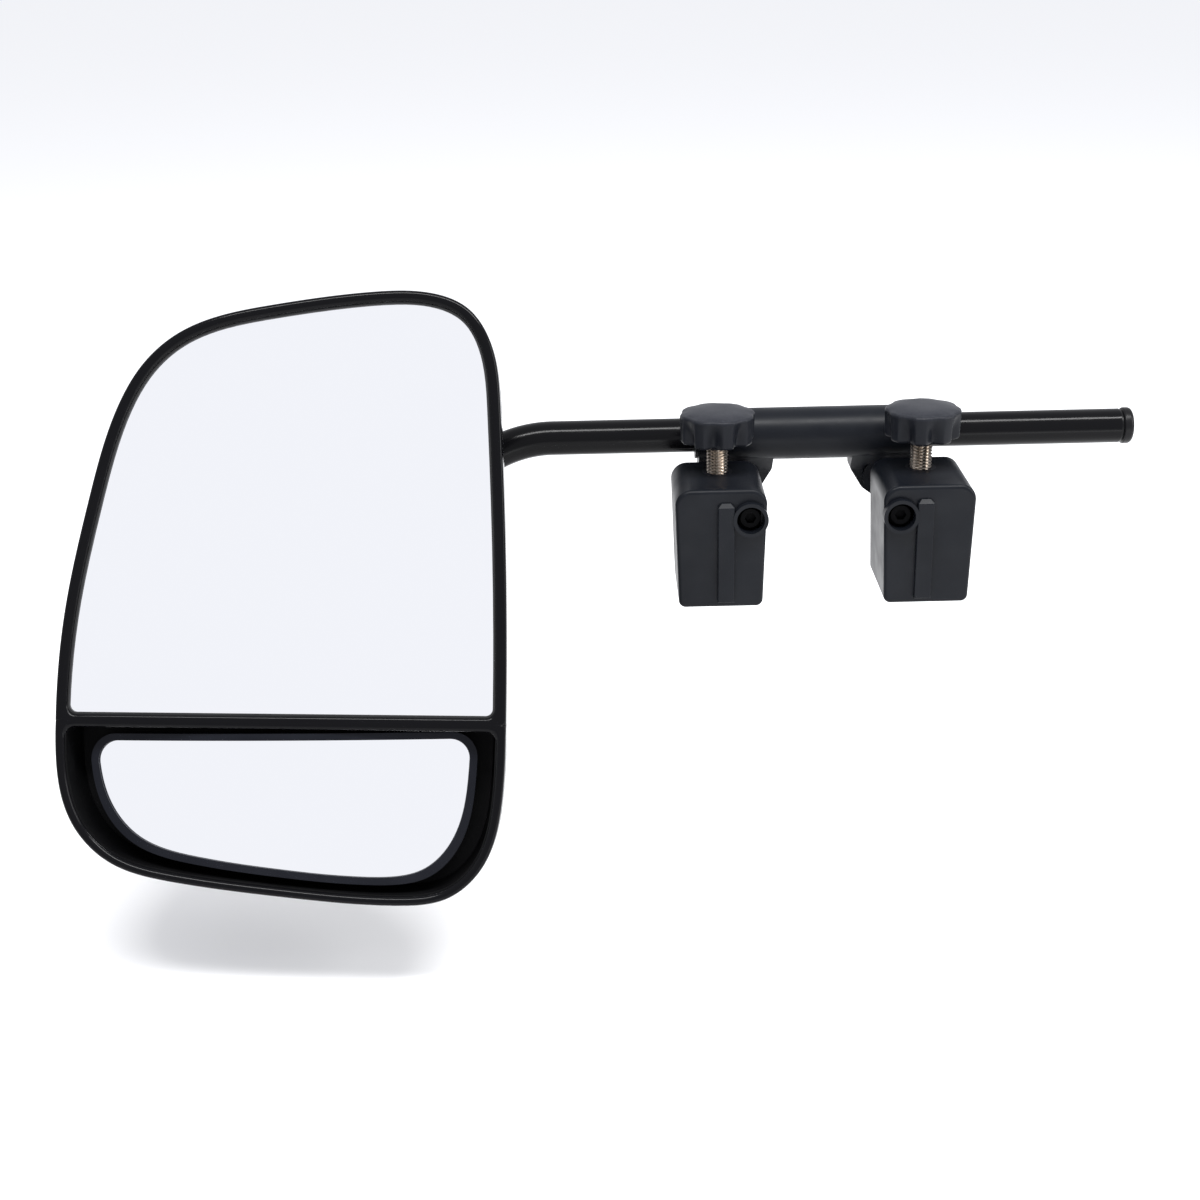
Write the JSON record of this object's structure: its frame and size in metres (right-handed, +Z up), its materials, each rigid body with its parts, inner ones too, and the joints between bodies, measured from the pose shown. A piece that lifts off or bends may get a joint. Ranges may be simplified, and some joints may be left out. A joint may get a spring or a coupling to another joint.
{
  "type": "towing mirror",
  "caption": "Clamp-on towing mirror: flat glass with a convex blind-spot glass below it on a ball-jointed head, a bent arm that slides in a bridge, and screw-down jaw clamps.",
  "frame": {"origin": "centre of the rubber face of the fixed jaw nearer the head", "axes": "+X along the arm away from the head, +Y forwards, away from the side that the driver sees, +Z up"},
  "size_m": [0.4882, 0.1561, 0.2529],
  "materials": {
    "arm_enamel": "gloss black powder coat with a slight orange peel",
    "cast_black": "black coated casting",
    "steel_pin": "bright steel",
    "plug_plastic": "satin black polyethylene",
    "clamp_plastic": "satin black glass-filled nylon",
    "knob_plastic": "satin black nylon, finely textured",
    "bearing_nylon": "smooth black nylon",
    "pad_rubber": "matt black rubber",
    "zinc_steel": "bright plated steel",
    "black_oxide": "black oxide steel",
    "cast_zinc": "raw casting",
    "brass_parts": "turned brass",
    "head_gloss": "gloss black ABS",
    "well_black": "matt black ABS",
    "holder_black": "semi-gloss black ABS",
    "seal_rubber": "soft black rubber",
    "mirror_glass": "silvered glass"
  },
  "bodies": {
    "root": {"bridge_bar": "clamp_plastic", "fixed_jaw_pad_left": "pad_rubber", "fixed_jaw_pad_right": "pad_rubber", "guide_rod_left": "steel_pin", "guide_rod_right": "steel_pin", "rod_pin_left": "steel_pin", "rod_pin_right": "steel_pin", "pull_ramp_left": "cast_zinc", "pull_ramp_right": "cast_zinc", "ramp_screw_left": "black_oxide", "ramp_screw_right": "black_oxide"},
    "tube_liners": {"tube_liner_left": "bearing_nylon", "tube_liner_right": "bearing_nylon"},
    "arm": {"arm_tube": "arm_enamel", "ball_knuckle": "cast_black", "knuckle_pin": "steel_pin", "end_plug": "plug_plastic"},
    "pan_cup": {"rear_cup": "bearing_nylon"},
    "roll_cup": {"front_cup": "bearing_nylon"},
    "head": {"rear_shell": "head_gloss", "front_bezel": "head_gloss", "glass_seal": "seal_rubber", "main_glass": "mirror_glass", "glass_carrier": "well_black", "well_pan": "well_black", "socket_plate": "bearing_nylon", "socket_screws": "steel_pin", "socket_springs": "steel_pin", "shell_screws": "steel_pin", "pivot_stud": "well_black"},
    "spot_cup": {"pivot_cup": "bearing_nylon"},
    "spot_mirror": {"blind_spot_holder": "holder_black", "blind_spot_glass": "mirror_glass"},
    "jaw_left": {"jaw_housing_left": "clamp_plastic", "jaw_cover_left": "clamp_plastic", "rod_bush_left": "brass_parts", "stud_bush_left": "bearing_nylon", "moving_jaw_pad_left": "pad_rubber"},
    "knob_left": {"knob_left": "knob_plastic", "stud_left": "zinc_steel", "thrust_collar_left": "steel_pin", "thrust_washer_left": "brass_parts"},
    "wedge_left": {"wedge_left": "bearing_nylon", "wedge_nut_left": "brass_parts"},
    "jaw_right": {"jaw_housing_right": "clamp_plastic", "jaw_cover_right": "clamp_plastic", "rod_bush_right": "brass_parts", "stud_bush_right": "bearing_nylon", "moving_jaw_pad_right": "pad_rubber"},
    "knob_right": {"knob_right": "knob_plastic", "stud_right": "zinc_steel", "thrust_collar_right": "steel_pin", "thrust_washer_right": "brass_parts"},
    "wedge_right": {"wedge_right": "bearing_nylon", "wedge_nut_right": "brass_parts"}
  },
  "joints": [
    {"name": "arm_turn", "type": "hinge", "parent": "root", "child": "tube_liners", "pos_m": [0.0465, 0.004, 0.06], "axis": [1, 0, 0], "continuous": true},
    {"name": "arm_slide", "type": "slide", "parent": "tube_liners", "child": "arm", "axis": [1, 0, 0], "range_m": [-0.08, 0.045]},
    {"name": "head_pan", "type": "hinge", "parent": "arm", "child": "pan_cup", "pos_m": [-0.1935, -0.06081, 0.00637], "axis": [0, 0.3746, 0.9272], "range_deg": [-12, 7]},
    {"name": "head_roll", "type": "hinge", "parent": "pan_cup", "child": "roll_cup", "pos_m": [-0.1935, -0.06081, 0.00637], "axis": [0, 0.9272, -0.3746], "range_deg": [-10, 10]},
    {"name": "head_tilt", "type": "hinge", "parent": "roll_cup", "child": "head", "pos_m": [-0.1935, -0.06081, 0.00637], "axis": [1, 0, 0], "range_deg": [-7, 12]},
    {"name": "spot_pan", "type": "hinge", "parent": "head", "child": "spot_cup", "pos_m": [-0.1935, -0.10861, -0.06923], "axis": [0, 0.3746, 0.9272], "range_deg": [-4, 4]},
    {"name": "spot_tilt", "type": "hinge", "parent": "spot_cup", "child": "spot_mirror", "pos_m": [-0.1935, -0.10861, -0.06923], "axis": [1, 0, 0], "range_deg": [-4, 4]},
    {"name": "jaw_left_slide", "type": "slide", "parent": "root", "child": "jaw_left", "axis": [0, -1, 0], "range_m": [0, 0.012]},
    {"name": "knob_left_spin", "type": "hinge", "parent": "jaw_left", "child": "knob_left", "pos_m": [0, -0.0255, 0], "axis": [0, 0, 1], "range_deg": [0, 4115.3]},
    {"name": "wedge_left_lift", "type": "slide", "parent": "jaw_left", "child": "wedge_left", "axis": [0, 0, 1], "range_m": [0, 0.01716]},
    {"name": "jaw_right_slide", "type": "slide", "parent": "root", "child": "jaw_right", "axis": [0, -1, 0], "range_m": [0, 0.012]},
    {"name": "knob_right_spin", "type": "hinge", "parent": "jaw_right", "child": "knob_right", "pos_m": [0.093, -0.0255, 0], "axis": [0, 0, 1], "range_deg": [0, 4115.3]},
    {"name": "wedge_right_lift", "type": "slide", "parent": "jaw_right", "child": "wedge_right", "axis": [0, 0, 1], "range_m": [0, 0.01716]}
  ],
  "couplings": [
    {"joint": "knob_left_spin", "follows": "jaw_left_slide", "rad_per_m": 5984},
    {"joint": "wedge_left_lift", "follows": "jaw_left_slide", "ratio": 1.4286},
    {"joint": "knob_right_spin", "follows": "jaw_right_slide", "rad_per_m": 5984},
    {"joint": "wedge_right_lift", "follows": "jaw_right_slide", "ratio": 1.4286}
  ]
}
